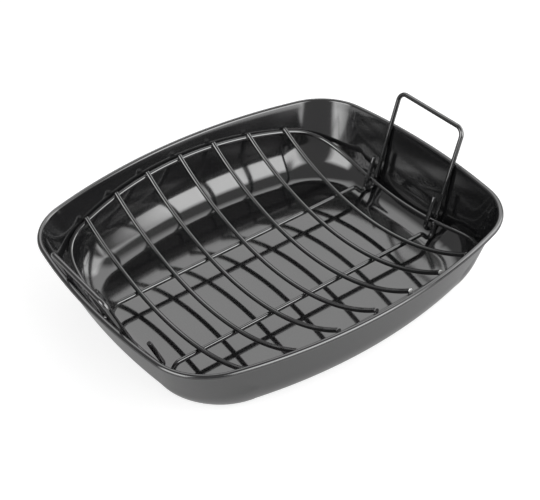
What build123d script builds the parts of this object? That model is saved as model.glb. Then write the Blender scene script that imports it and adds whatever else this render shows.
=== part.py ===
from build123d import *
import math
import os

# Roasting pan of pressed sheet steel with a rolled rim, a lift-out cradle rack of
# welded round wire, and two wire handles that swing on the rack's end wires.
# Millimetres. +X along the pan, +Z up, origin under the middle of the pan's base.

# Pan, measured to the centre line of its rolled rim
rim_half_length = 210.0
rim_half_width = 182.5
rim_end_radius = 720.0
rim_side_radius = 535.0
rim_corner_radius = 66.0
rim_height = 77.4
bead_radius = 2.85
sheet_thickness = 1.0
wall_draft = 17.0
base_corner_radius = 77.5
base_edge_radius = 36.5
rim_wire_clearance = 0.05

# Round wire of the rack and handles, and how deep a spot weld sinks one into the next
wire_radius = 2.5
weld_sink = 0.12

# Cradle of cross wires, all bent to one radius
cross_wire_count = 7
cross_wire_spacing = 43.5
cradle_radius = 284.3
cradle_height = 14.9

# Perimeter wire that carries the cross wires' ends, with its room to the pan
frame_middle_clearance = 3.35
frame_corner_clearance = 1.06
frame_side_overrun = 3.0
frame_end_clearance = 7.32
frame_end_height = 18.0
frame_end_half_span = 80.0
frame_end_bow = 1.5
frame_end_rise = 10.2
frame_corner_reach_to_end = 46.0
frame_corner_reach_to_side = 31.0

# Runner wires under the cradle, whose feet reach past the centre of the floor's curve
runner_half_spacing = 56.3
foot_reach = 11.31
foot_bend_radius = 5.0
foot_drop_angle = 50.0
runner_bend_radius = 7.0
seat_clearance = 0.3

# Wire handles that hook round the perimeter wire
handle_half_width = 49.8
handle_corner_radius = 9.5
handle_reach = 105.5
hook_stub_play = 0.5
hook_leg_play = 1.6
hook_stub_reach = 28.0
hook_floor_clearance = 0.8

wire_diameter = 2 * wire_radius
hook_stub_gap = wire_diameter + hook_stub_play
hook_leg_gap = wire_diameter + hook_leg_play
draft = math.radians(wall_draft)
weld_distance = wire_diameter - weld_sink
cradle_axis_height = cradle_height + cradle_radius
carrier_radius = cradle_radius + weld_distance


def tangent_points(half_length, half_width, end_radius, side_radius, corner_radius):
    """Where one corner arc of a bowed outline starts, is halfway and ends."""
    end_centre = Vector(half_length - end_radius, 0)
    side_centre = Vector(0, half_width - side_radius)
    to_end = end_radius - corner_radius
    to_side = side_radius - corner_radius
    between = side_centre - end_centre
    along = (to_end**2 - to_side**2 + between.length**2) / (2 * between.length)
    across = math.sqrt(to_end**2 - along**2)
    unit = between.normalized()
    corner_centre = end_centre + unit * along + Vector(-unit.Y, unit.X) * across
    toward_end = (corner_centre - end_centre).normalized()
    toward_side = (corner_centre - side_centre).normalized()
    toward_middle = (toward_end + toward_side).normalized()
    return [corner_centre + way * corner_radius for way in (toward_end, toward_middle, toward_side)]


def bowed_outline(half_length, half_width, end_radius, side_radius, corner_radius, height):
    """Closed outline of bowed ends and sides joined by corner arcs, at one height."""
    start, middle, finish = tangent_points(half_length, half_width, end_radius, side_radius, corner_radius)

    def at(point, x_sign, y_sign):
        return Vector(point.X * x_sign, point.Y * y_sign, height)

    end_middle = Vector(half_length, 0)
    side_middle = Vector(0, half_width)
    edges = [
        ThreePointArc(at(start, 1, -1), at(end_middle, 1, 1), at(start, 1, 1)),
        ThreePointArc(at(start, 1, 1), at(middle, 1, 1), at(finish, 1, 1)),
        ThreePointArc(at(finish, 1, 1), at(side_middle, 1, 1), at(finish, -1, 1)),
        ThreePointArc(at(finish, -1, 1), at(middle, -1, 1), at(start, -1, 1)),
        ThreePointArc(at(start, -1, 1), at(end_middle, -1, 1), at(start, -1, -1)),
        ThreePointArc(at(start, -1, -1), at(middle, -1, -1), at(finish, -1, -1)),
        ThreePointArc(at(finish, -1, -1), at(side_middle, 1, -1), at(finish, 1, -1)),
        ThreePointArc(at(finish, 1, -1), at(middle, 1, -1), at(start, 1, -1)),
    ]
    return Wire(edges)


def rim_outline(inset, height, corner_radius=None):
    """Outline parallel to the rim's centre line, at a distance inside it."""
    corner = rim_corner_radius - inset if corner_radius is None else corner_radius
    return bowed_outline(
        rim_half_length - inset,
        rim_half_width - inset,
        rim_end_radius - inset,
        rim_side_radius - inset,
        corner,
        height,
    )


def wall_inset(depth_in_sheet, height):
    """How far a face of the drafted wall lies inside the rim's centre line."""
    at_bead = (bead_radius - sheet_thickness + depth_in_sheet) / math.cos(draft)
    return at_bead + (rim_height - height) * math.tan(draft)


def rim_end_at(y):
    """X of the rim's centre line on the bowed end."""
    return rim_half_length - rim_end_radius + math.sqrt(rim_end_radius**2 - y**2)


def floor_curve_centre(y):
    """Centre of the curve between floor and end wall, as X and Z at a given Y."""
    flat_edge = wall_inset(0, 0) + base_edge_radius * math.tan((math.pi / 2 - draft) / 2)
    return Vector(rim_end_at(y) - flat_edge, y, base_edge_radius)


def tub(depth_in_sheet, join_height):
    """Solid inside one face of the sheet, from the floor up to the rim's stub."""
    corner = base_corner_radius - depth_in_sheet / math.cos(draft)
    base = rim_outline(wall_inset(depth_in_sheet, depth_in_sheet), depth_in_sheet, corner)
    top = rim_outline(wall_inset(depth_in_sheet, join_height), join_height)
    body = Solid.make_loft([base, top], ruled=True)
    floor_edges = body.faces().sort_by(Axis.Z)[0].edges()
    return body.fillet(base_edge_radius - depth_in_sheet, floor_edges)


def rim_profile_plane(path):
    """Plane across the rim's path: its X points outwards and its Y up."""
    tangent = path % 0
    return Plane(origin=path @ 0, x_dir=(tangent.Y, -tangent.X, 0), z_dir=-tangent)


def rolled_rim(path, join_height):
    """Curl of sheet round the rim, with a short stub of wall below it."""
    drop = rim_height - join_height
    across = Vector(math.cos(draft), -math.sin(draft))
    down = Vector(-math.sin(draft), -math.cos(draft))
    hollow_radius = bead_radius - sheet_thickness
    inside_top = across * -bead_radius
    outside_top = across * -hollow_radius + down * math.sqrt(bead_radius**2 - hollow_radius**2)
    inside_foot = Vector(-wall_inset(sheet_thickness, join_height), -drop)
    outside_foot = Vector(-wall_inset(0, join_height), -drop)
    away = (across + Vector(0, 1)).normalized() * bead_radius
    outline = [
        Line(inside_foot, inside_top),
        ThreePointArc(inside_top, away, outside_top),
        Line(outside_top, outside_foot),
        Line(outside_foot, inside_foot),
    ]
    section = make_face(outline) - Circle(hollow_radius)
    return sweep(rim_profile_plane(path) * section, path=path)


def pan_body():
    join_height = rim_height - 2 * bead_radius
    path = rim_outline(0, rim_height)
    shell = tub(0, join_height) - tub(sheet_thickness, join_height)
    return shell + rolled_rim(path, join_height)


def round_wire(path, radius=wire_radius):
    """Round wire along a path."""
    section = Plane(origin=path @ 0, z_dir=path % 0) * Circle(radius)
    return sweep(section, path=path)


def rim_wire():
    radius = bead_radius - sheet_thickness - rim_wire_clearance
    return round_wire(rim_outline(0, rim_height), radius)


def cross_wire_place(number):
    """X of a cross wire, counted from 1 at the left end."""
    return (number - (cross_wire_count + 1) / 2) * cross_wire_spacing


def inside_wall(x, height, gap):
    """Y at a gap inside the long wall's inner face, at one X and height."""
    inset = wall_inset(sheet_thickness, height) + gap / math.cos(draft)
    return rim_half_width - rim_side_radius + math.sqrt((rim_side_radius - inset)**2 - x**2)


def frame_room(x, clearance):
    """Y at which a wire under the cross wires' ends is clear of the pan's wall."""
    low = inside_wall(x, 0, wire_radius + clearance)
    slope = (inside_wall(x, rim_height, wire_radius + clearance) - low) / rim_height
    square = 1 + slope**2
    half = cradle_axis_height - low * slope
    height = (half - math.sqrt(half**2 - square * (low**2 + cradle_axis_height**2 - carrier_radius**2))) / square
    return low + slope * height


def frame_side_point(x, y_sign):
    """Point of the perimeter wire's long side, welded under the cross wires' ends."""
    span = cross_wire_place(cross_wire_count) + frame_side_overrun
    half_width = frame_room(0, frame_middle_clearance)
    bow = half_width - frame_room(span, frame_corner_clearance)
    radius = (span**2 + bow**2) / (2 * bow)
    y = half_width - radius + math.sqrt(radius**2 - x**2)
    z = cradle_axis_height - math.sqrt(carrier_radius**2 - y**2)
    return Vector(x, y * y_sign, z)


def frame_half_length():
    """X of the perimeter wire's end, clear of the curve between floor and end wall."""
    reach = base_edge_radius - sheet_thickness - frame_end_clearance - wire_radius
    return floor_curve_centre(0).X + math.sqrt(reach**2 - (base_edge_radius - frame_end_height)**2)


def frame_end_point(y, x_sign):
    """Point of the perimeter wire's dipping end."""
    rise = math.hypot(frame_end_bow, frame_end_rise)
    radius = (frame_end_half_span**2 + rise**2) / (2 * rise)
    share = (radius - math.sqrt(radius**2 - y**2)) / rise
    x = frame_half_length() - frame_end_bow * share
    return Vector(x * x_sign, y, frame_end_height + frame_end_rise * share)


def cross_wire(number):
    x = cross_wire_place(number)
    reach = math.asin(frame_side_point(x, 1).Y / carrier_radius) + wire_radius / cradle_radius

    def at(angle):
        return Vector(x, cradle_radius * math.sin(angle), cradle_axis_height - cradle_radius * math.cos(angle))

    return round_wire(ThreePointArc(at(-reach), at(0), at(reach)))


def frame_corner(end, side):
    """Corner of the perimeter wire, from the end's tangent to the side's."""
    leave = end @ 1 + (end % 1) * frame_corner_reach_to_end
    arrive = side @ 0 - (side % 0) * frame_corner_reach_to_side
    return Bezier(end @ 1, leave, arrive, side @ 0)


def perimeter_wire():
    span = cross_wire_place(cross_wire_count) + frame_side_overrun
    half = frame_end_half_span
    right = ThreePointArc(frame_end_point(-half, 1), frame_end_point(0, 1), frame_end_point(half, 1))
    back = ThreePointArc(frame_side_point(span, 1), frame_side_point(0, 1), frame_side_point(-span, 1))
    first = frame_corner(right, back)
    half_loop = [right, first, back]
    half_loop.append(first.mirror(Plane.YZ))
    other_half = [Rotation(0, 0, 180) * edge for edge in half_loop]
    return round_wire(Wire(half_loop + other_half))


def meet(first, first_angle, second, second_angle):
    """Point where two lines in one upright plane cross, each given by a point and its angle."""
    way = Vector(math.cos(first_angle), 0, math.sin(first_angle))
    other = Vector(math.cos(second_angle), 0, math.sin(second_angle))
    gap = second - first
    turn = way.X * other.Z - way.Z * other.X
    return first + way * ((gap.X * other.Z - gap.Z * other.X) / turn)


def runner_wire(y):
    """Straight runner at one Y whose ends dip into feet and rise to the perimeter wire."""
    top = cradle_axis_height - math.sqrt(carrier_radius**2 - y**2)
    seat = floor_curve_centre(y)
    inner_radius = base_edge_radius - sheet_thickness
    drop = inner_radius - seat_clearance - foot_bend_radius - wire_radius
    lean = math.asin(foot_reach / drop)
    bend = seat + Vector(math.sin(lean), 0, -math.cos(lean)) * drop
    frame = frame_end_point(y, 1)
    rise = frame - bend
    rise_angle = math.atan2(rise.Z, rise.X) + math.asin(foot_bend_radius / rise.length)
    drop_angle = -math.radians(foot_drop_angle)
    down_side = bend + Vector(math.sin(drop_angle), 0, -math.cos(drop_angle)) * foot_bend_radius
    foot = meet(down_side, drop_angle, frame, rise_angle)
    shoulder = meet(down_side, drop_angle, Vector(frame.X, y, top), 0)
    tip = frame - Vector(math.cos(rise_angle), 0, math.sin(rise_angle)) * (wire_radius - weld_sink)
    right = [shoulder, foot, tip]
    left = [Vector(-point.X, point.Y, point.Z) for point in reversed(right)]
    radii = [foot_bend_radius, runner_bend_radius, runner_bend_radius, foot_bend_radius]
    return round_wire(FilletPolyline(*left, *right, radius=radii))


def handle_lean(axis):
    """Angle from upright at which the legs lean on the rolled rim."""
    bead = Vector(rim_end_at(handle_half_width), axis.Y, rim_height) - axis
    standoff = hook_leg_gap + wire_radius + seat_clearance + bead_radius
    return math.acos(standoff / bead.length) - math.atan2(bead.Z, bead.X)


def hook_depth(axis, lean):
    """Depth of the hook's bend below the perimeter wire, where it nears the pan's floor."""
    across = Vector(math.cos(lean), 0, -math.sin(lean))
    along = Vector(math.sin(lean), 0, math.cos(lean))
    bend_radius = (hook_leg_gap + hook_stub_gap) / 2
    offset = axis + across * (hook_leg_gap - bend_radius) - floor_curve_centre(axis.Y)
    reach = base_edge_radius - sheet_thickness - hook_floor_clearance - wire_radius - bend_radius
    down = offset.dot(along)
    return down + math.sqrt(down**2 + reach**2 - offset.dot(offset))


def handle_path(depth):
    """Half of a handle's wire in its own plane, from the hook's stub to the bar's middle."""
    y = handle_half_width
    bend_radius = (hook_leg_gap + hook_stub_gap) / 2
    turn = handle_corner_radius * (1 - math.sqrt(0.5))
    stub_end = Vector(-hook_stub_gap, y, hook_stub_reach)
    stub_low = Vector(-hook_stub_gap, y, -depth)
    hook_low = Vector(hook_leg_gap - bend_radius, y, -depth - bend_radius)
    leg_low = Vector(hook_leg_gap, y, -depth)
    leg_high = Vector(hook_leg_gap, y, handle_reach - handle_corner_radius)
    corner = Vector(hook_leg_gap, y - turn, handle_reach - turn)
    bar_start = Vector(hook_leg_gap, y - handle_corner_radius, handle_reach)
    bar_middle = Vector(hook_leg_gap, 0, handle_reach)
    return [
        Line(stub_end, stub_low),
        ThreePointArc(stub_low, hook_low, leg_low),
        Line(leg_low, leg_high),
        ThreePointArc(leg_high, corner, bar_start),
        Line(bar_start, bar_middle),
    ]


def handle():
    """Right-hand handle, leaning out against the rim."""
    axis = frame_end_point(handle_half_width, 1)
    lean = handle_lean(axis)
    stand = Plane(
        origin=(axis.X, 0, axis.Z),
        x_dir=(math.cos(lean), 0, -math.sin(lean)),
        z_dir=(math.sin(lean), 0, math.cos(lean)),
    )
    half = handle_path(hook_depth(axis, lean))
    other = [edge.mirror(Plane.XZ) for edge in reversed(half)]
    return stand * round_wire(Wire(half + other))


def build():
    """Every separate piece by the name of its node."""
    right = handle()
    pieces = {
        "pan_body": pan_body(),
        "rim_wire": rim_wire(),
        "rack_perimeter_wire": perimeter_wire(),
        "rack_runner_wire_back": runner_wire(runner_half_spacing),
        "rack_runner_wire_front": runner_wire(-runner_half_spacing),
        "handle_right": right,
        "handle_left": Rotation(0, 0, 180) * right,
    }
    for number in range(1, cross_wire_count + 1):
        pieces[f"rack_cross_wire_{number}"] = cross_wire(number)
    return pieces


os.makedirs("parts", exist_ok=True)
for name, piece in build().items():
    piece.label = name
    export_step(piece, f"parts/{name}.step")
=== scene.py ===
"""Looks of a non-stick roasting pan with a lift-out wire rack and two swinging wire handles."""

import logging
import math
from dataclasses import dataclass, field
from enum import Enum
from typing import Any

import bpy
import numpy as np
from mathutils import Matrix, Vector


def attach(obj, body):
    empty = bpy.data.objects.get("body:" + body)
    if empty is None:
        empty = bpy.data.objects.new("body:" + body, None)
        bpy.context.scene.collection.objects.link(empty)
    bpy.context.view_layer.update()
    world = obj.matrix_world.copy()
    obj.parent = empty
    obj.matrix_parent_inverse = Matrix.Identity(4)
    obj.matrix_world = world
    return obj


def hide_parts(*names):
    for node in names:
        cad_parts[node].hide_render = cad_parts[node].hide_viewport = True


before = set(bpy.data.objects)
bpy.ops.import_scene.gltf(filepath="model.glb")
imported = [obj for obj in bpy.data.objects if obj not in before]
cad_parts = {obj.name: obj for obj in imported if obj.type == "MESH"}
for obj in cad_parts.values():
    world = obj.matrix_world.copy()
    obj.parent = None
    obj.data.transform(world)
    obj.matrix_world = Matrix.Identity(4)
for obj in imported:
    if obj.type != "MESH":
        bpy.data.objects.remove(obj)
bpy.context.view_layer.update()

MM = 0.001
WHITE = (1.0, 1.0, 1.0, 1.0)
log = logging.getLogger("roasting_pan")


class Side(Enum):
    """Which end of the pan a handle belongs to, as the sign of its X."""

    LEFT = -1
    RIGHT = 1


class Coat(Enum):
    """Which surface a coating lies on."""

    SHEET = "sheet"
    WIRE = "wire"


def linear(hex_colour: str) -> tuple[float, ...]:
    """Turn an sRGB hex colour into the linear colour that a shader socket holds.

    Args:
        hex_colour: Six hex digits after a hash.

    Returns:
        Linear red, green and blue, and one for a solid colour.
    """
    channels = [int(hex_colour[i : i + 2], 16) / 255 for i in (1, 3, 5)]
    values = [c / 12.92 if c <= 0.04045 else ((c + 0.055) / 1.055) ** 2.4 for c in channels]
    return (*values, 1.0)


def add_node(tree: Any, kind: str, inputs: dict[Any, Any] | None = None, **settings: Any) -> Any:
    """Add one node with its settings, values and links.

    Args:
        tree: Node tree that gets the node.
        kind: Node's type name.
        inputs: Value or source socket for each input, by name or place.
        settings: Properties of the node itself.

    Returns:
        The new node.
    """
    node = tree.nodes.new(kind)
    for name, value in settings.items():
        setattr(node, name, value)
    for key, value in (inputs or {}).items():
        if isinstance(value, bpy.types.NodeSocket):
            tree.links.new(value, node.inputs[key])
        else:
            node.inputs[key].default_value = value
    return node


def add_math(tree: Any, operation: str, *values: Any, **settings: Any) -> Any:
    """Add a Math node.

    Args:
        tree: Node tree that gets the node.
        operation: What it does with its values.
        values: Number or source socket for each input.
        settings: Properties of the node itself.

    Returns:
        The node's output.
    """
    node = add_node(tree, "ShaderNodeMath", dict(enumerate(values)), operation=operation, **settings)
    return node.outputs[0]


def add_noise(tree: Any, place: Any, size_mm: float, detail: float, roughness: float = 0.5) -> Any:
    """Add a Noise node whose pattern has a real size.

    Args:
        tree: Node tree that gets the node.
        place: Socket of the coordinates, in metres.
        size_mm: Size of the pattern in millimetres.
        detail: Number of finer layers.
        roughness: How strong the finer layers are.

    Returns:
        The node's output.
    """
    inputs = {"Vector": place, "Scale": 1 / (size_mm * MM), "Detail": detail, "Roughness": roughness}
    return add_node(tree, "ShaderNodeTexNoise", inputs).outputs[0]


def add_range(tree: Any, value: Any, low: float, high: float, start: float = 0.0, end: float = 1.0) -> Any:
    """Add a Map Range node.

    Args:
        tree: Node tree that gets the node.
        value: Socket of the value that is mapped.
        low: Result where the value is at its start.
        high: Result where the value is at its end.
        start: Value that gives the low result.
        end: Value that gives the high result.

    Returns:
        The node's output.
    """
    inputs = {"Value": value, "From Min": start, "From Max": end, "To Min": low, "To Max": high}
    return add_node(tree, "ShaderNodeMapRange", inputs).outputs[0]


def add_ray_share(tree: Any, mirrored_share: float) -> Any:
    """Add nodes that give one to camera rays and a share to mirrored and refracted rays.

    Args:
        tree: Node tree that gets the nodes.
        mirrored_share: What glossy and transmission rays get.

    Returns:
        The last node's output.
    """
    seen = add_node(tree, "ShaderNodeLightPath").outputs
    mirrored = add_math(tree, "MAXIMUM", seen["Is Glossy Ray"], seen["Is Transmission Ray"])
    part = add_math(tree, "MULTIPLY", mirrored, mirrored_share)
    return add_math(tree, "MAXIMUM", seen["Is Camera Ray"], part)


def blank_tree(owner: bpy.types.Material | bpy.types.World) -> bpy.types.NodeTree:
    """Give a material or a world an empty node tree.

    Args:
        owner: The material or world.

    Returns:
        Its node tree.
    """
    owner.use_nodes = True
    owner.node_tree.nodes.clear()
    return owner.node_tree


def unit(vector: np.ndarray) -> np.ndarray:
    """Vector of length one in the same direction."""
    return vector / np.linalg.norm(vector)


def towards(azimuth: float, elevation: float) -> Vector:
    """Direction at an azimuth, counted from the pan's front, and an elevation, in radians."""
    level = math.cos(elevation)
    return Vector((math.sin(azimuth) * level, -math.cos(azimuth) * level, math.sin(elevation)))


def three_point_arc(start: np.ndarray, middle: np.ndarray, end: np.ndarray, count: int) -> np.ndarray:
    """Points along the circle's arc through three points in space.

    Args:
        start: First point.
        middle: A point between.
        end: Last point.
        count: How many points.

    Returns:
        Array of points from start to end.
    """
    a, b = middle - start, end - start
    normal = np.cross(a, b)
    to_centre = (np.cross(normal, a) * (b @ b) + np.cross(b, normal) * (a @ a)) / (2 * (normal @ normal))
    centre = start + to_centre
    first = start - centre
    across = np.cross(unit(normal), first)
    last = end - centre
    turn = math.atan2(last @ across, last @ first) % (2 * math.pi)
    angles = np.linspace(0, turn, count)[:, None]
    return centre + first * np.cos(angles) + across * np.sin(angles)


def rounded_path(corners: list[np.ndarray], radii: list[float], step: float) -> np.ndarray:
    """Points along straight runs whose corners are turned with given radii.

    Args:
        corners: Ends and corners of the runs.
        radii: One radius for each inner corner.
        step: Angle between points on a bend, in radians.

    Returns:
        Array of points.
    """
    points = [corners[0]]
    for before, corner, after, radius in zip(corners, corners[1:], corners[2:], radii):
        arrive, leave = unit(before - corner), unit(after - corner)
        half = math.acos(np.clip(arrive @ leave, -1, 1)) / 2
        cut = radius / math.tan(half)
        middle = unit(arrive + leave)
        deepest = corner + middle * radius / math.sin(half) - middle * radius
        count = max(4, int((math.pi - 2 * half) / step))
        points += list(three_point_arc(corner + arrive * cut, deepest, corner + leave * cut, count))
    points.append(corners[-1])
    return np.array(points)


def quad_strip(rows: int, count: int) -> list[tuple[int, ...]]:
    """List the faces between neighbouring closed rows of points.

    Args:
        rows: Number of rows.
        count: Points in each row.

    Returns:
        Vertex numbers of each face.
    """
    faces = []
    for low in range(0, (rows - 1) * count, count):
        high = low + count
        for i in range(count):
            j = (i + 1) % count
            faces.append((low + i, low + j, high + j, high + i))
    return faces


@dataclass(frozen=True)
class NonStickCoating:
    """Baked non-stick coating, sprayed on steel: near black, glassy, with a faint haze and orange peel."""

    colour: str = "#131314"
    worn: str = "#181819"
    ior: float = 2.1
    wire_ior: float = 2.3
    roughness: float = 0.09
    wire_roughness: float = 0.035
    roughness_spread: tuple[float, float] = (0.85, 1.2)
    speck_roughness: float = 0.006
    film: float = 0.12
    film_ior: float = 1.45
    film_roughness: float = 0.42
    peel_mm: float = 2.4
    speck_mm: float = 0.7
    cloud_mm: float = 55.0
    speck_span: tuple[float, float] = (0.35, 0.75)
    cloud_span: tuple[float, float] = (0.3, 0.7)
    peel_height_mm: float = 0.0006
    speck_height_share: float = 0.04

    def build(self, coat: Coat) -> bpy.types.Material:
        """Make the coating's material.

        Args:
            coat: Whether it lies on the sheet or on the wires, where it flows out smoother.

        Returns:
            The material.
        """
        wire = coat is Coat.WIRE
        material = bpy.data.materials.new("baked_non_stick_coating_on_" + coat.value)
        tree = blank_tree(material)
        place = add_node(tree, "ShaderNodeTexCoord").outputs["Object"]
        # Orange peel: the sprayed coat flows into low mounds 2 to 3 mm wide before it is baked.
        peel = add_noise(tree, place, self.peel_mm, detail=2.0, roughness=0.4)
        # Fine specks of filler, under a millimetre, break the gloss a little from close by.
        speck = add_noise(tree, place, self.speck_mm, detail=3.0, roughness=0.6)
        # Uneven bake and handling over hand-wide areas make the gloss vary softly.
        cloud = add_noise(tree, place, self.cloud_mm, detail=3.0, roughness=0.55)
        roughness = self.wire_roughness if wire else self.roughness
        low, high = (roughness * share for share in self.roughness_spread)
        dull = add_range(tree, cloud, low, high, *self.cloud_span)
        grain = add_range(tree, speck, 0.0, self.speck_roughness, *self.speck_span)
        ends = {"Factor": cloud, "A": linear(self.colour), "B": linear(self.worn)}
        tint = add_node(tree, "ShaderNodeMix", ends, data_type="RGBA")
        heights = add_math(tree, "MULTIPLY_ADD", speck, self.speck_height_share, peel)
        bump = add_node(tree, "ShaderNodeBump", {"Height": heights, "Distance": self.peel_height_mm * MM})
        # A thin film left by baking and wiping scatters a wide, weak haze round each reflection.
        look = {
            "Base Color": tint.outputs["Result"],
            "Roughness": add_math(tree, "ADD", dull, grain),
            "IOR": self.wire_ior if wire else self.ior,
            "Normal": bump.outputs[0],
            "Coat Weight": 0.0 if wire else self.film,
            "Coat Roughness": self.film_roughness,
            "Coat IOR": self.film_ior,
        }
        shader = add_node(tree, "ShaderNodeBsdfPrincipled", look)
        add_node(tree, "ShaderNodeOutputMaterial", {"Surface": shader.outputs[0]})
        return material


@dataclass(frozen=True)
class DrawnSteel:
    """Bare drawn steel wire: pale grey, satin, with fine lines along the drawing direction."""

    colour: str = "#dededd"
    roughness: float = 0.38
    roughness_spread: tuple[float, float] = (0.8, 1.3)
    line_mm: float = 0.15
    line_stretch: float = 0.04
    line_height_mm: float = 0.004

    def build(self) -> bpy.types.Material:
        """Make the steel's material with its fine drawing lines.

        Returns:
            The material.
        """
        material = bpy.data.materials.new("drawn_steel_wire")
        tree = blank_tree(material)
        place = add_node(tree, "ShaderNodeTexCoord").outputs["Object"]
        # The die leaves long, fine lines, so a bright streak on the wire looks brushed, not polished.
        stretch = (self.line_stretch, self.line_stretch, 1.0)
        lines = add_node(tree, "ShaderNodeMapping", {"Vector": place, "Scale": stretch}).outputs[0]
        grain = add_noise(tree, lines, self.line_mm, detail=3.0)
        low, high = (self.roughness * share for share in self.roughness_spread)
        bump = add_node(tree, "ShaderNodeBump", {"Height": grain, "Distance": self.line_height_mm * MM})
        look = {
            "Base Color": linear(self.colour),
            "Metallic": 1.0,
            "Roughness": add_range(tree, grain, low, high),
            "Normal": bump.outputs[0],
        }
        shader = add_node(tree, "ShaderNodeBsdfPrincipled", look)
        add_node(tree, "ShaderNodeOutputMaterial", {"Surface": shader.outputs[0]})
        return material


@dataclass(frozen=True)
class PaleStudioPaper:
    """Seamless studio paper: matt, evenly pale, white to the camera and dimmer in reflections."""

    colour: str = "#b4b4b4"
    lift: float = 0.75
    mirrored_share: float = 0.3
    fibre_mm: float = 1.5
    fibre_height_mm: float = 0.01

    def build(self) -> bpy.types.Material:
        """Make the paper's material, white to the camera and with the object's shadow kept.

        Returns:
            The material.
        """
        material = bpy.data.materials.new("seamless_studio_paper")
        tree = blank_tree(material)
        place = add_node(tree, "ShaderNodeTexCoord").outputs["Object"]
        # Paper fibre keeps the floor matt, so that it never mirrors the pan.
        fibre = add_noise(tree, place, self.fibre_mm, detail=2.0)
        bump = add_node(tree, "ShaderNodeBump", {"Height": fibre, "Distance": self.fibre_height_mm * MM})
        look = {"Color": linear(self.colour), "Normal": bump.outputs[0]}
        matt = add_node(tree, "ShaderNodeBsdfDiffuse", look)
        shown = add_math(tree, "MULTIPLY", add_ray_share(tree, self.mirrored_share), self.lift)
        glow = add_node(tree, "ShaderNodeEmission", {"Color": WHITE, "Strength": shown})
        both = add_node(tree, "ShaderNodeAddShader", {0: matt.outputs[0], 1: glow.outputs[0]})
        add_node(tree, "ShaderNodeOutputMaterial", {"Surface": both.outputs[0]})
        return material


def linked(name: str, data: Any) -> bpy.types.Object:
    """Make an object and link it to the scene.

    Args:
        name: Object's name.
        data: Its mesh, curve, lamp or camera.

    Returns:
        The linked object.
    """
    made = bpy.data.objects.new(name, data)
    bpy.context.scene.collection.objects.link(made)
    return made


def mesh_object(
    name: str, points: np.ndarray, faces: list[tuple[int, ...]], finish: bpy.types.Material
) -> bpy.types.Object:
    """Make a smooth mesh object at the origin.

    Args:
        name: Piece's name.
        points: Vertices in metres.
        faces: Vertex numbers of each face.
        finish: Its material.

    Returns:
        The linked object.
    """
    mesh = bpy.data.meshes.new(name)
    mesh.from_pydata([tuple(p) for p in points], [], faces)
    mesh.materials.append(finish)
    mesh.shade_smooth()
    mesh.update()
    return linked(name, mesh)


@dataclass(frozen=True)
class BowedOutline:
    """Closed outline of bowed ends and sides joined by corner arcs, in millimetres."""

    half_length: float
    half_width: float
    end_radius: float
    side_radius: float
    corner_radius: float

    def inside(self, distance: float, corner_radius: float | None = None) -> "BowedOutline":
        """Outline parallel to this one, at a distance inside it.

        Args:
            distance: How far inside it lies.
            corner_radius: Radius of its corners, where they aren't parallel too.

        Returns:
            The inner outline.
        """
        corner = self.corner_radius - distance if corner_radius is None else corner_radius
        sizes = (self.half_length, self.half_width, self.end_radius, self.side_radius)
        return BowedOutline(*(size - distance for size in sizes), corner)

    def trace(self, on_end: int, on_corner: int, on_side: int) -> tuple[np.ndarray, np.ndarray]:
        """Points and outward directions along one quarter, then its three mirror images.

        Args:
            on_end: Steps on half an end.
            on_corner: Steps on a corner.
            on_side: Steps on half a side.

        Returns:
            Points and unit normals, anticlockwise from the right end's middle.
        """
        end_centre = np.array([self.half_length - self.end_radius, 0.0])
        side_centre = np.array([0.0, self.half_width - self.side_radius])
        to_end, to_side = self.end_radius - self.corner_radius, self.side_radius - self.corner_radius
        between = side_centre - end_centre
        span = np.linalg.norm(between)
        along = (to_end**2 - to_side**2 + span**2) / (2 * span)
        way = between / span
        across = np.array([-way[1], way[0]]) * math.sqrt(to_end**2 - along**2)
        corner_centre = end_centre + way * along + across
        first = math.atan2(*(corner_centre - end_centre)[::-1])
        second = math.atan2(*(corner_centre - side_centre)[::-1])
        arcs = (
            (end_centre, self.end_radius, 0.0, first, on_end),
            (corner_centre, self.corner_radius, first, second, on_corner),
            (side_centre, self.side_radius, second, math.pi / 2, on_side),
        )
        points, ways = [], []
        for centre, radius, start, finish, steps in arcs:
            turns = np.linspace(start, finish, steps, endpoint=False)
            way = np.c_[np.cos(turns), np.sin(turns)]
            points.append(centre + way * radius)
            ways.append(way)
        loops = []
        for arrays, last in ((points, self.half_width), (ways, 1.0)):
            quarter = np.vstack([*arrays, [[0.0, last]]])
            half = np.vstack([quarter, (quarter * [-1.0, 1.0])[-2::-1]])
            loops.append(np.vstack([half[:-1], -half[:-1]]))
        return loops[0], loops[1]


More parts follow.
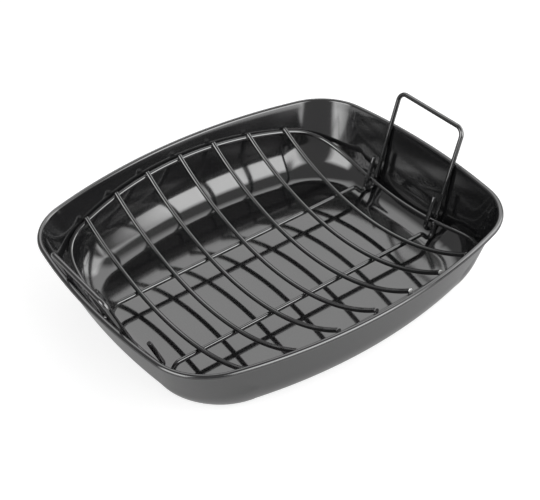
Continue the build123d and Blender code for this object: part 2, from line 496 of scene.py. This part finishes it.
@dataclass
class PanBody:
    """Pressed pan with drafted walls and a rim rolled round a stiffening wire, sizes in millimetres."""

    finish: bpy.types.Material
    steel: bpy.types.Material
    rim: BowedOutline = field(default_factory=lambda: BowedOutline(210.0, 182.5, 720.0, 535.0, 66.0))
    rim_height: float = 77.4
    bead_radius: float = 2.85
    sheet: float = 1.0
    draft: float = math.radians(17.0)
    base_corner_radius: float = 77.5
    base_edge_radius: float = 36.5
    side_stretch: float = 10.0
    sideways_from: float = 0.2
    sideways_over: float = 0.55
    join_play: float = 0.001
    outside_play: float = 0.4
    around: tuple[int, int, int] = (26, 44, 34)
    floor_start: float = 0.04
    floor_power: float = 0.8
    floor_steps: int = 12
    bend_steps: int = 26
    wall_steps: int = 14
    bead_steps: int = 44
    hollow_sides: int = 16

    def wall_inset(self, depth: float, height: float) -> float:
        """How far a face of the drafted wall lies inside the rim's centre line."""
        at_bead = (self.bead_radius - self.sheet + depth) / math.cos(self.draft)
        return at_bead + (self.rim_height - height) * math.tan(self.draft)

    def rim_x(self, y: float) -> float:
        """X of the rim's centre line on the bowed end."""
        return self.rim.half_length - self.rim.end_radius + math.sqrt(self.rim.end_radius**2 - y**2)

    def floor_curve(self, y: float) -> np.ndarray:
        """Centre of the curve between floor and end wall, as X and Z at a given Y."""
        flat = self.wall_inset(0, 0) + self.base_edge_radius * math.tan((math.pi / 2 - self.draft) / 2)
        return np.array([self.rim_x(y) - flat, self.base_edge_radius])

    def face_rings(self, depth: float) -> list[np.ndarray]:
        """Rings of one face of the sheet, from the floor's middle up to the rim.

        Args:
            depth: Distance of the face from the sheet's outside.

        Returns:
            Rings of points from the floor's middle to the bead.
        """
        join = self.rim_height - self.bead_radius * math.sin(self.draft) - self.join_play
        corner = self.base_corner_radius - depth / math.cos(self.draft)
        base, way = self.rim.inside(self.wall_inset(depth, depth), corner).trace(*self.around)
        top, _ = self.rim.inside(self.wall_inset(depth, join)).trace(*self.around)
        radius = self.base_edge_radius - depth
        lean = np.arctan2(((top - base) * way).sum(1), join - depth)
        reach = radius * np.tan((math.pi / 2 - lean) / 2)
        centre = base - way * reach[:, None]
        # The curve under the long sides climbs a little higher up the wall than the one under the ends.
        climb = reach + self.side_stretch
        sideways = np.clip((np.abs(way[:, 1]) - self.sideways_from) / self.sideways_over, 0, 1)
        sideways = sideways**2 * (3 - 2 * sideways)
        rings = []
        for share in np.linspace(self.floor_start, 1.0, self.floor_steps)[:-1] ** self.floor_power:
            rings.append(np.c_[centre * share, np.full(len(base), depth)])
        for share in np.linspace(0, 1, self.bend_steps):
            turn = (math.pi / 2 - lean) * share
            end_out, end_rise = radius * np.sin(turn), radius * (1 - np.cos(turn))
            side_out = share * ((2 - share) * reach + share * climb * np.sin(lean))
            side_rise = share**2 * climb * np.cos(lean)
            out = end_out * (1 - sideways) + side_out * sideways
            rise = end_rise * (1 - sideways) + side_rise * sideways
            rings.append(np.c_[centre + way * out[:, None], depth + rise])
        foot = rings[-1]
        line = base + (top - base) * ((foot[:, 2] - depth) / (join - depth))[:, None]
        miss = foot[:, :2] - line
        for share in np.linspace(0, 1, self.wall_steps)[1:]:
            height = foot[:, 2] + (join - foot[:, 2]) * share
            flat = base + (top - base) * ((height - depth) / (join - depth))[:, None]
            rings.append(np.c_[flat + miss * (1 - share) ** 3, height])
        return rings

    def bead_ring(self, radius: float, turn: float) -> np.ndarray:
        """Ring round the rim at one distance and angle from its centre line.

        Args:
            radius: Distance from the centre line.
            turn: Angle round it, from straight outward.

        Returns:
            The ring's points.
        """
        path, way = self.rim.trace(*self.around)
        out = path + way * (radius * math.cos(turn))
        return np.c_[out, np.full(len(path), self.rim_height + radius * math.sin(turn))]

    def bead_rings(self) -> list[np.ndarray]:
        """Rings round the rolled rim, from the wall's inside over the top to its outside.

        Returns:
            Rings of points.
        """
        hollow = self.bead_radius - self.sheet
        drop = math.sqrt(self.bead_radius**2 - hollow**2)
        across = np.array([math.cos(self.draft), -math.sin(self.draft)])
        down = np.array([-math.sin(self.draft), -math.cos(self.draft)])
        last = across * -hollow + down * drop
        turns = np.linspace(math.pi - self.draft, math.atan2(last[1], last[0]), self.bead_steps)
        return [self.bead_ring(self.bead_radius, turn) for turn in turns]

    def loops(self) -> list[np.ndarray]:
        """Every ring of the closed sheet, from inside floor to outside floor.

        Returns:
            Rings of points.
        """
        inner, outer = self.face_rings(self.sheet), self.face_rings(0.0)
        bead = self.bead_rings()
        lowest = bead[-1][:, 2].min() - self.outside_play
        outside = [ring for ring in outer if ring[:, 2].max() < lowest]
        return inner[:-1] + bead + outside[::-1]

    def build(self) -> bpy.types.Object:
        """Mesh the sheet with its rolled rim and the hollow that holds the wire.

        Returns:
            The pan's piece.
        """
        rings = self.loops()
        count = len(rings[0])
        points = [np.vstack(rings), np.array([[0, 0, self.sheet], [0, 0, 0.0]])]
        faces = quad_strip(len(rings), count)
        inside, outside = len(rings) * count, len(rings) * count + 1
        last = (len(rings) - 1) * count
        for i in range(count):
            j = (i + 1) % count
            faces += [(inside, j, i), (outside, last + i, last + j)]
        start, sides = outside + 1, self.hollow_sides
        for turn in np.linspace(0, 2 * math.pi, sides, endpoint=False):
            points.append(self.bead_ring(self.bead_radius - self.sheet, turn))
        for k in range(sides):
            low, high = start + k * count, start + (k + 1) % sides * count
            for i in range(count):
                j = (i + 1) % count
                faces.append((low + i, high + i, high + j, low + j))
        flipped = [tuple(reversed(face)) for face in faces]
        return mesh_object("pan_sheet", np.vstack(points) * MM, flipped, self.finish)

    def dress(self) -> None:
        """Put the pan's sheet on its body and give the rim's wire its steel."""
        sheet = self.build()
        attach(sheet, "pan")
        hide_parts("pan_body")
        log.info("pan sheet with rolled rim: %d faces", len(sheet.data.polygons))
        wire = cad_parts["rim_wire"]
        wire.data.materials.clear()
        wire.data.materials.append(self.steel)
        log.info("rim wire: drawn steel inside the roll")


def named_tree(name: str, inputs: dict[str, str], result: str) -> tuple[bpy.types.NodeTree, Any]:
    """Start a Geometry Nodes tree.

    Args:
        name: Tree's name.
        inputs: Kind of socket for each named input.
        result: Name of its geometry output.

    Returns:
        The tree, and the outputs of its group input.
    """
    tree = bpy.data.node_groups.new(name, "GeometryNodeTree")
    for label, kind in inputs.items():
        tree.interface.new_socket(name=label, in_out="INPUT", socket_type="NodeSocket" + kind)
    tree.interface.new_socket(name=result, in_out="OUTPUT", socket_type="NodeSocketGeometry")
    return tree, add_node(tree, "NodeGroupInput").outputs


def close_tree(tree: bpy.types.NodeTree, shape: Any, coating: Any) -> None:
    """End a Geometry Nodes tree in real, smooth faces with their coating.

    Args:
        tree: The tree.
        shape: Socket of the geometry.
        coating: Socket of the material.
    """
    smooth = add_node(tree, "GeometryNodeSetShadeSmooth", {"Geometry": shape})
    real = add_node(tree, "GeometryNodeRealizeInstances", {0: smooth.outputs[0]})
    coated = add_node(tree, "GeometryNodeSetMaterial", {"Geometry": real.outputs[0], "Material": coating})
    add_node(tree, "NodeGroupOutput", {0: coated.outputs[0]})


def wire_tree() -> bpy.types.NodeTree:
    """Tree that turns a wire's middle line into coated round wire with broken end edges.

    Returns:
        The tree, with the wire's sizes as named inputs.
    """
    sizes = {"Wire Radius": "Float", "End Rounding": "Float", "Cut Face Share": "Float", "Sides": "Int"}
    inputs = {"Middle Line": "Geometry", **sizes, "Coating": "Material"}
    tree, given = named_tree("coated_round_wire", inputs, "Wire")
    along = add_node(tree, "GeometryNodeSplineParameter").outputs["Length"]
    length = add_node(tree, "GeometryNodeSplineLength").outputs["Length"]
    near = add_math(tree, "MINIMUM", along, add_math(tree, "SUBTRACT", length, along))
    share = add_math(tree, "DIVIDE", near, given["End Rounding"], use_clamp=True)
    square = add_math(tree, "POWER", add_math(tree, "SUBTRACT", 1.0, share), 2.0)
    arc = add_math(tree, "SQRT", add_math(tree, "SUBTRACT", 1.0, square))
    narrow = add_range(tree, arc, 0.0, 1.0)
    tree.links.new(given["Cut Face Share"], narrow.node.inputs["To Min"])
    ring = add_node(tree, "GeometryNodeInputSplineCyclic").outputs[0]
    choice = {"Switch": ring, "False": narrow, "True": 1.0}
    scale = add_node(tree, "GeometryNodeSwitch", choice, input_type="FLOAT")
    circle = {"Resolution": given["Sides"], "Radius": given["Wire Radius"]}
    section = add_node(tree, "GeometryNodeCurvePrimitiveCircle", circle)
    lines = {"Curve": given["Middle Line"], "Profile Curve": section.outputs[0]}
    lines.update({"Scale": scale.outputs[0], "Fill Caps": True})
    swept = add_node(tree, "GeometryNodeCurveToMesh", lines)
    close_tree(tree, swept.outputs[0], given["Coating"])
    return tree


def nugget_tree() -> bpy.types.NodeTree:
    """Tree that sets a flattened weld nugget on every joint of two crossing wires.

    Returns:
        The tree, with the nuggets' sizes and seed as named inputs.
    """
    sizes = dict.fromkeys(("Nugget Radius", "Nugget Rise", "Least Heat", "Most Heat"), "Float")
    inputs = {"Joints": "Geometry", **sizes, "Seed": "Int", "Coating": "Material"}
    tree, given = named_tree("spot_welds", inputs, "Nuggets")
    stored = {"Name": "joint_way"}
    way = add_node(tree, "GeometryNodeInputNamedAttribute", stored, data_type="FLOAT_VECTOR")
    turn = add_node(tree, "FunctionNodeAlignRotationToVector", {"Vector": way.outputs[0]}, axis="Z")
    # Each weld takes a little more or less heat, so no two nuggets are quite the same size.
    spread = {2: given["Least Heat"], 3: given["Most Heat"], "Seed": given["Seed"]}
    heat = add_node(tree, "FunctionNodeRandomValue", spread, data_type="FLOAT")
    axes = {0: given["Nugget Radius"], 1: given["Nugget Radius"], 2: given["Nugget Rise"]}
    flat = add_node(tree, "ShaderNodeCombineXYZ", axes)
    scaled = {0: flat.outputs[0], "Scale": heat.outputs[1]}
    size = add_node(tree, "ShaderNodeVectorMath", scaled, operation="SCALE")
    ball = add_node(tree, "GeometryNodeMeshUVSphere", {"Segments": 24, "Rings": 12, "Radius": 1.0})
    spots = {"Points": given["Joints"], "Instance": ball.outputs[0]}
    spots.update({"Rotation": turn.outputs[0], "Scale": size.outputs[0]})
    placed = add_node(tree, "GeometryNodeInstanceOnPoints", spots)
    close_tree(tree, placed.outputs[0], given["Coating"])
    return tree


def grown(name: str, source: Any, tree: bpy.types.NodeTree, values: dict[str, Any]) -> bpy.types.Object:
    """Grow a plain mesh object from a curve or mesh with a Geometry Nodes tree.

    Args:
        name: Piece's name.
        source: Curve or mesh that the tree starts from.
        tree: The tree.
        values: Value for each of its named inputs.

    Returns:
        A mesh object without modifiers.
    """
    start = linked(name, source)
    modifier = start.modifiers.new(tree.name, "NODES")
    modifier.node_group = tree
    for item in tree.interface.items_tree:
        if item.in_out == "INPUT" and item.name in values:
            modifier[item.identifier] = values[item.name]
    bpy.context.view_layer.update()
    evaluated = start.evaluated_get(bpy.context.evaluated_depsgraph_get())
    mesh = bpy.data.meshes.new_from_object(evaluated)
    bpy.data.objects.remove(start)
    kind = bpy.data.curves if isinstance(source, bpy.types.Curve) else bpy.data.meshes
    kind.remove(source)
    mesh.name = name
    return linked(name, mesh)


@dataclass
class WireStock:
    """Round coated wire that every wire piece is swept from, sizes in millimetres."""

    finish: bpy.types.Material
    radius: float = 2.5
    end_rounding: float = 0.55
    cut_face_share: float = 0.74
    end_steps: int = 7
    sides: int = 28
    tree: bpy.types.NodeTree = field(default_factory=wire_tree)

    def sweep(self, name: str, points: np.ndarray, closed: bool = False) -> bpy.types.Object:
        """Sweep the wire along points.

        Args:
            name: Piece's name.
            points: Middle line in millimetres.
            closed: Whether it is a ring.

        Returns:
            The wire as a plain mesh object.
        """
        line = bpy.data.curves.new(name, "CURVE")
        line.dimensions = "3D"
        spline = line.splines.new("POLY")
        if not closed:
            points = self.with_end_points(points)
        spline.points.add(len(points) - 1)
        spline.points.foreach_set("co", np.c_[points * MM, np.ones(len(points))].ravel())
        spline.use_cyclic_u = closed
        lengths = {"Wire Radius": self.radius * MM, "End Rounding": self.end_rounding * MM}
        others = {"Cut Face Share": self.cut_face_share, "Sides": self.sides, "Coating": self.finish}
        return grown(name, line, self.tree, {**lengths, **others})

    def with_end_points(self, points: np.ndarray) -> np.ndarray:
        """Add close points near both ends, where the cut edge is rounded.

        Args:
            points: Middle line of an open wire.

        Returns:
            The middle line with the added points.
        """
        steps = self.end_rounding * (1 - np.cos(np.linspace(0, math.pi / 2, self.end_steps)))[1:]
        first, last = unit(points[1] - points[0]), unit(points[-2] - points[-1])
        head = [points[0] + first * s for s in steps]
        tail = [points[-1] + last * s for s in steps[::-1]]
        return np.vstack([points[:1], head, points[1:-1], tail, points[-1:]])


@dataclass
class WireRack:
    """Cradle rack: ring, cross wires and runners, spot-welded where they cross, in millimetres."""

    stock: WireStock
    weld_sink: float = 0.12
    count: int = 7
    spacing: float = 43.5
    cradle_radius: float = 284.3
    cradle_height: float = 14.9
    half_width: float = 169.6
    side_radius: float = 482.0
    side_overrun: float = 3.0
    half_length: float = 175.2
    end_height: float = 18.0
    end_half_span: float = 80.0
    end_bow: float = 1.5
    end_rise: float = 10.2
    reach_to_end: float = 46.0
    reach_to_side: float = 31.0
    runner_half_spacing: float = 56.3
    foot_centre: float = 166.5
    foot_bend_radius: float = 5.0
    foot_drop_angle: float = math.radians(50.0)
    runner_bend_radius: float = 7.0
    bend_step: float = math.radians(5.0)
    seat_clearance: float = 0.3
    ring_steps: tuple[int, int, int] = (30, 54, 40)
    cross_steps: int = 90
    nugget_radius: float = 1.9
    nugget_rise: float = 1.0
    weld_heat: tuple[float, float] = (0.85, 1.15)
    end_weld_slope: float = -0.35
    seed: int = 7
    # Cross wires whose front cut ends get pale steel caps as painted glints; the real ends are coated and
    # only catch the light.
    glint_wires: tuple[int, ...] = (5, 6)
    glint_cap_sides: int = 24
    glint_cap_profile: tuple[tuple[float, float], ...] = (
        (0.985, -0.34),
        (0.93, -0.12),
        (0.82, 0.02),
        (0.4, 0.06),
    )
    glint_cap_rise: float = 0.065

    def __post_init__(self) -> None:
        """Work out the cradle's axis and the radius that carries the cross wires."""
        self.axis_height = self.cradle_height + self.cradle_radius
        self.carrier_radius = self.cradle_radius + 2 * self.stock.radius - self.weld_sink

    def side_point(self, x: float) -> np.ndarray:
        """Point of the ring's back side, under the cross wires' ends."""
        y = self.half_width - self.side_radius + math.sqrt(self.side_radius**2 - x**2)
        return np.array([x, y, self.axis_height - math.sqrt(self.carrier_radius**2 - y**2)])

    def end_point(self, y: float, sign: int) -> np.ndarray:
        """Point of the ring's dipping end.

        Args:
            y: Where along the end.
            sign: Which end, as the sign of its X.

        Returns:
            The point.
        """
        rise = math.hypot(self.end_bow, self.end_rise)
        radius = (self.end_half_span**2 + rise**2) / (2 * rise)
        share = (radius - math.sqrt(radius**2 - y**2)) / rise
        x = (self.half_length - self.end_bow * share) * sign
        return np.array([x, y, self.end_height + self.end_rise * share])

    def cross_x(self, number: int) -> float:
        """X of a cross wire, counted from 1 at the left end."""
        return (number - (self.count + 1) / 2) * self.spacing

    def ring_path(self) -> np.ndarray:
        """Middle line of the ring, closed.

        Returns:
            Array of points.
        """
        span = (self.count - 1) / 2 * self.spacing + self.side_overrun
        half = self.end_half_span
        on_end, on_side, on_corner = self.ring_steps
        right = three_point_arc(*(self.end_point(y, 1) for y in (-half, 0, half)), on_end)
        back = three_point_arc(*(self.side_point(x) for x in (span, 0, -span)), on_side)
        leave = right[-1] + unit(right[-1] - right[-2]) * self.reach_to_end
        arrive = back[0] - unit(back[1] - back[0]) * self.reach_to_side
        share = np.linspace(0, 1, on_corner)[1:-1, None]
        weights = ((1 - share) ** 3, 3 * (1 - share) ** 2 * share, 3 * (1 - share) * share**2, share**3)
        corner = weights[0] * right[-1] + weights[1] * leave + weights[2] * arrive + weights[3] * back[0]
        half_loop = np.vstack([right, corner, back, (corner * [-1, 1, 1])[::-1]])
        return np.vstack([half_loop, half_loop * [-1, -1, 1]])

    def cross_path(self, number: int) -> np.ndarray:
        """Middle line of one cross wire.

        Args:
            number: Which one, from 1 at the left end.

        Returns:
            Array of points.
        """
        x = self.cross_x(number)
        swing = math.asin(self.side_point(x)[1] / self.carrier_radius)
        reach = swing + self.stock.radius / self.cradle_radius
        turns = np.linspace(-reach, reach, self.cross_steps)
        rise = self.axis_height - self.cradle_radius * np.cos(turns)
        return np.c_[np.full(self.cross_steps, x), self.cradle_radius * np.sin(turns), rise]

    def runner_path(self, y: float, pan: PanBody) -> np.ndarray:
        """Middle line of one runner with its two feet.

        Args:
            y: Where it runs.
            pan: The pan whose floor curve the feet follow.

        Returns:
            Array of points from the left end to the right end.
        """
        seat, inner_radius = pan.floor_curve(y), pan.base_edge_radius - pan.sheet
        top = self.axis_height - math.sqrt(self.carrier_radius**2 - y**2)
        drop = inner_radius - self.seat_clearance - self.foot_bend_radius - self.stock.radius
        lean = math.asin((self.foot_centre - seat[0]) / drop)
        bend = seat + np.array([math.sin(lean), -math.cos(lean)]) * drop
        end = self.end_point(y, 1)
        frame_end = end[[0, 2]]
        rise = frame_end - bend
        turn_off = math.asin(self.foot_bend_radius / np.linalg.norm(rise))
        rise_angle = math.atan2(rise[1], rise[0]) + turn_off
        drop_way = np.array([math.cos(-self.foot_drop_angle), math.sin(-self.foot_drop_angle)])
        down_side = bend + np.array([drop_way[1], -drop_way[0]]) * self.foot_bend_radius
        rise_way = np.array([math.cos(rise_angle), math.sin(rise_angle)])
        foot = self.meet(down_side, drop_way, frame_end, rise_way)
        shoulder = self.meet(down_side, drop_way, np.array([end[0], top]), np.array([1.0, 0.0]))
        tip = frame_end - rise_way * (self.stock.radius - self.weld_sink)
        right = [np.array([p[0], y, p[1]]) for p in (shoulder, foot, tip)]
        left = [p * [-1, 1, 1] for p in reversed(right)]
        radii = [self.foot_bend_radius, self.runner_bend_radius]
        return rounded_path(left + right, radii + radii[::-1], self.bend_step)

    @staticmethod
    def meet(first: np.ndarray, way: np.ndarray, second: np.ndarray, other: np.ndarray) -> np.ndarray:
        """Point where two lines in a plane cross.

        Args:
            first: Point of one line.
            way: Its direction.
            second: Point of the other line.
            other: Its direction.

        Returns:
            The point.
        """
        gap = second - first
        turn = way[0] * other[1] - way[1] * other[0]
        return first + way * ((gap[0] * other[1] - gap[1] * other[0]) / turn)

    def joints(self) -> tuple[np.ndarray, np.ndarray]:
        """Find where cross wires touch the ring and the runners, and the runners' ends the ring.

        Returns:
            Places of the joints, and at each the direction from one wire to the other.
        """
        places, ways = [], []
        for number in range(1, self.count + 1):
            x = self.cross_x(number)
            for y in (self.side_point(x)[1], self.runner_half_spacing):
                turn = math.asin(y / self.carrier_radius)
                reach = self.cradle_radius + self.stock.radius - self.weld_sink / 2
                for sign in (-1, 1):
                    way = np.array([0.0, math.sin(turn) * sign, -math.cos(turn)])
                    places.append(np.array([x, 0.0, self.axis_height]) + way * reach)
                    ways.append(way)
        for end in (-1, 1):
            for sign in (-1, 1):
                frame_end = self.end_point(self.runner_half_spacing * sign, end)
                way = unit(np.array([-end, 0.0, self.end_weld_slope]))
                places.append(frame_end + way * (self.stock.radius - self.weld_sink / 2))
                ways.append(way)
        return np.array(places), np.array(ways)

    def welds(self) -> bpy.types.Object:
        """Build the weld nugget of every joint as one piece.

        Returns:
            The piece.
        """
        places, ways = self.joints()
        mesh = bpy.data.meshes.new("weld_nuggets")
        mesh.from_pydata([tuple(p) for p in places * MM], [], [])
        mesh.attributes.new("joint_way", "FLOAT_VECTOR", "POINT").data.foreach_set("vector", ways.ravel())
        sizes = {"Nugget Radius": self.nugget_radius * MM, "Nugget Rise": self.nugget_rise * MM}
        heat = dict(zip(("Least Heat", "Most Heat"), self.weld_heat))
        values = {**sizes, **heat, "Seed": self.seed, "Coating": self.stock.finish}
        return grown("weld_nuggets", mesh, nugget_tree(), values)

    def painted_glint_ends(self, steel: bpy.types.Material) -> list[bpy.types.Object]:
        """Build thin pale steel caps on two front cut ends, as painted glints where the coated ends catch
        the light.

        Args:
            steel: Pale steel finish that paints the glints.

        Returns:
            One piece for each painted glint.
        """
        sides, rows = self.glint_cap_sides, len(self.glint_cap_profile)
        turns = np.linspace(0, 2 * math.pi, sides, endpoint=False)
        last = (rows - 1) * sides
        faces = quad_strip(rows, sides)
        faces += [(last + i, last + (i + 1) % sides, last + sides) for i in range(sides)]
        faces.append(tuple(range(sides - 1, -1, -1)))
        made = []
        # Each pale steel cap is a painted glint on a coated cut end, not chipped coating.
        for number in self.glint_wires:
            path = self.cross_path(number)
            way = unit(path[0] - path[1])
            across = np.cross(way, [1.0, 0.0, 0.0])
            rim = np.outer(np.cos(turns), [1.0, 0.0, 0.0]) + np.outer(np.sin(turns), across)
            profile = [(self.stock.radius * share, rise) for share, rise in self.glint_cap_profile]
            rings = [path[0] + rim * radius + way * rise for radius, rise in profile]
            points = np.vstack(rings + [[path[0] + way * self.glint_cap_rise]])
            made.append(mesh_object(f"bare_cut_end_{number}", points * MM, faces, steel))
        return made

    def dress(self, pan: PanBody) -> None:
        """Build every wire of the rack and put it on the rack's body.

        Args:
            pan: The pan whose floor curve the feet follow.
        """
        welds = self.welds()
        # The pale steel caps on two cut ends are painted glints; the weld nuggets are real.
        for extra in [welds] + self.painted_glint_ends(pan.steel):
            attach(extra, "rack")
            log.info("%s: %d faces", extra.name, len(extra.data.polygons))
        made = {"rack_perimeter_wire": self.stock.sweep("perimeter_wire", self.ring_path(), closed=True)}
        for number in range(1, self.count + 1):
            path = self.cross_path(number)
            made[f"rack_cross_wire_{number}"] = self.stock.sweep(f"cross_wire_{number}", path)
        for side, sign in (("front", -1), ("back", 1)):
            path = self.runner_path(self.runner_half_spacing * sign, pan)
            made[f"rack_runner_wire_{side}"] = self.stock.sweep(f"runner_wire_{side}", path)
        for node, piece in made.items():
            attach(piece, "rack")
            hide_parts(node)
            log.info("%s: %d faces", piece.name, len(piece.data.polygons))


@dataclass
class WireHandle:
    """Handle bent from one wire, hooked round the ring at both legs, in millimetres."""

    stock: WireStock
    side: Side
    half_width: float = 49.8
    corner_radius: float = 9.5
    reach: float = 105.5
    stub_gap: float = 5.5
    leg_gap: float = 6.6
    stub_reach: float = 28.0
    seat_clearance: float = 0.3
    floor_clearance: float = 0.8
    hook_steps: int = 22
    corner_steps: int = 14

    def path(self, pan: PanBody, rack: WireRack) -> np.ndarray:
        """Middle line from one stub to the other.

        Args:
            pan: The pan whose rim the legs lean on.
            rack: The rack whose ring the hooks go round.

        Returns:
            Array of points.
        """
        y = self.half_width
        axis = rack.end_point(y, 1)[[0, 2]]
        bead = np.array([pan.rim_x(y), pan.rim_height]) - axis
        standoff = self.leg_gap + self.stock.radius + self.seat_clearance + pan.bead_radius
        lean = math.acos(standoff / np.linalg.norm(bead)) - math.atan2(bead[1], bead[0])
        across = np.array([math.cos(lean), -math.sin(lean)])
        along = np.array([math.sin(lean), math.cos(lean)])
        bend = (self.leg_gap + self.stub_gap) / 2
        offset = axis + across * (self.leg_gap - bend) - pan.floor_curve(y)
        room = pan.base_edge_radius - pan.sheet - self.floor_clearance - self.stock.radius - bend
        down = offset @ along
        depth = down + math.sqrt(down**2 + room**2 - offset @ offset)
        turn = np.linspace(math.pi, 2 * math.pi, self.hook_steps)
        hook_x, hook_z = self.leg_gap - bend + bend * np.cos(turn), -depth + bend * np.sin(turn)
        hook = np.c_[hook_x, np.full(self.hook_steps, y), hook_z]
        corner = np.linspace(0, math.pi / 2, self.corner_steps)
        radius = self.corner_radius
        top_y, top_z = y - radius + radius * np.cos(corner), self.reach - radius + radius * np.sin(corner)
        top = np.c_[np.full(self.corner_steps, self.leg_gap), top_y, top_z]
        half = np.vstack([[-self.stub_gap, y, self.stub_reach], hook, top])
        flatways = np.vstack([half, (half * [1, -1, 1])[::-1]])
        x, z = (axis[i] + flatways[:, 0] * across[i] + flatways[:, 2] * along[i] for i in (0, 1))
        return np.c_[x * self.side.value, flatways[:, 1] * self.side.value, z]

    def dress(self, pan: PanBody, rack: WireRack) -> None:
        """Build the handle and put it on its own body.

        Args:
            pan: The pan whose rim the legs lean on.
            rack: The rack whose ring the hooks go round.
        """
        name = "handle_" + self.side.name.lower()
        piece = self.stock.sweep("wire_" + name, self.path(pan, rack))
        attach(piece, name)
        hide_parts(name)
        log.info("%s: %d faces", piece.name, len(piece.data.polygons))


@dataclass(frozen=True)
class Softbox:
    """Square-edged studio light that the black coating mirrors, sizes in metres."""

    name: str
    azimuth: float
    elevation: float
    width: float
    height: float
    level: float
    distance: float = 2.2
    aim_height: float = 0.05
    pane_spacing: float = 0.002
    steps: tuple[float, ...] = (0.74, 0.86, 0.98, 1.10, 1.22)

    def build(self) -> None:
        """Make the lamp as a stack of growing panes, so that its cloth fades towards the edges."""
        way = towards(math.radians(self.azimuth), math.radians(self.elevation))
        for number, step in enumerate(self.steps):
            lamp = bpy.data.lights.new(f"{self.name}_{number}", "AREA")
            lamp.shape = "RECTANGLE"
            lamp.size = self.width * step
            lamp.size_y = self.height * step
            lamp.energy = self.level / len(self.steps) * math.pi * lamp.size * lamp.size_y
            made = linked(lamp.name, lamp)
            away = way * (self.distance + self.pane_spacing * number)
            made.location = Vector((0, 0, self.aim_height)) + away
            made.rotation_mode = "QUATERNION"
            made.rotation_quaternion = way.to_track_quat("Z", "Y")


@dataclass
class Studio:
    """White paper, soft lamps and the camera at the photograph's viewing angle, in metres."""

    paper: bpy.types.Material
    lamps: tuple[Softbox, ...] = (
        Softbox("front_window", 14.5, 27.5, 1.86, 1.85, 3.4),
        Softbox("right_window", 75.0, 27.0, 1.45, 1.60, 2.5),
        Softbox("left_window", -88.0, 25.0, 1.45, 1.65, 3.2),
        Softbox("rear_panel", 134.0, 44.0, 3.0, 1.75, 1.1),
    )
    paper_half: float = 1.8
    paper_drop: float = 0.0002
    ambient: float = 0.16
    mirrored_share: float = 0.1
    azimuth: float = math.radians(-33.85)
    elevation: float = math.radians(37.57)
    distance: float = 1.3328
    roll: float = math.radians(-3.95)
    aim_height: float = 0.061
    lens_mm: float = 87.005
    sensor_mm: float = 36.0
    shift: tuple[float, float] = (-0.0007, -0.0304)

    def floor(self) -> None:
        """Lay the paper on the plane that the pan stands on."""
        half = self.paper_half
        corners = ((-half, -half), (half, -half), (half, half), (-half, half))
        points = np.array([[x, y, -self.paper_drop] for x, y in corners])
        paper = mesh_object("studio_paper", points, [(0, 1, 2, 3)], self.paper)

    def world(self) -> None:
        """Dim surroundings for the coating's reflections, and white behind the object."""
        world = bpy.data.worlds.new("studio")
        bpy.context.scene.world = world
        tree = blank_tree(world)
        shown = add_ray_share(tree, self.mirrored_share)
        dim = add_node(tree, "ShaderNodeBackground", {"Color": WHITE, "Strength": self.ambient})
        white = add_node(tree, "ShaderNodeBackground", {"Color": WHITE, "Strength": 1.0})
        both = add_node(tree, "ShaderNodeMixShader", {0: shown, 1: dim.outputs[0], 2: white.outputs[0]})
        add_node(tree, "ShaderNodeOutputWorld", {"Surface": both.outputs[0]})

    def camera(self) -> None:
        """Set the camera that the photograph was matched with."""
        back = towards(self.azimuth, self.elevation)
        right = Vector((0, 0, 1)).cross(back).normalized()
        up = back.cross(right)
        across = right * math.cos(self.roll) + up * math.sin(self.roll)
        upward = up * math.cos(self.roll) - right * math.sin(self.roll)
        data = bpy.data.cameras.new("camera")
        data.sensor_width = self.sensor_mm
        data.lens = self.lens_mm
        data.shift_x, data.shift_y = self.shift
        camera = linked("camera", data)
        place = Vector((0, 0, self.aim_height)) + back * self.distance
        turn = Matrix((across, upward, back)).transposed()
        camera.matrix_world = Matrix.Translation(place) @ turn.to_4x4()
        bpy.context.scene.camera = camera

    def dress(self) -> None:
        """Build the paper, world, lamps and camera."""
        self.floor()
        self.world()
        self.camera()
        for lamp in self.lamps:
            lamp.build()
            log.info("lamp %s", lamp.name)
        bpy.context.scene.view_settings.view_transform = "Standard"


def main() -> None:
    """Build the pan, the rack, the handles and the studio."""
    logging.basicConfig(level=logging.INFO, format="%(name)s: %(message)s")
    coating = NonStickCoating()
    pan = PanBody(coating.build(Coat.SHEET), DrawnSteel().build())
    pan.dress()
    stock = WireStock(coating.build(Coat.WIRE))
    rack = WireRack(stock)
    rack.dress(pan)
    for side in (Side.LEFT, Side.RIGHT):
        WireHandle(stock, side).dress(pan, rack)
    Studio(PaleStudioPaper().build()).dress()


if __name__ == "__main__":
    main()
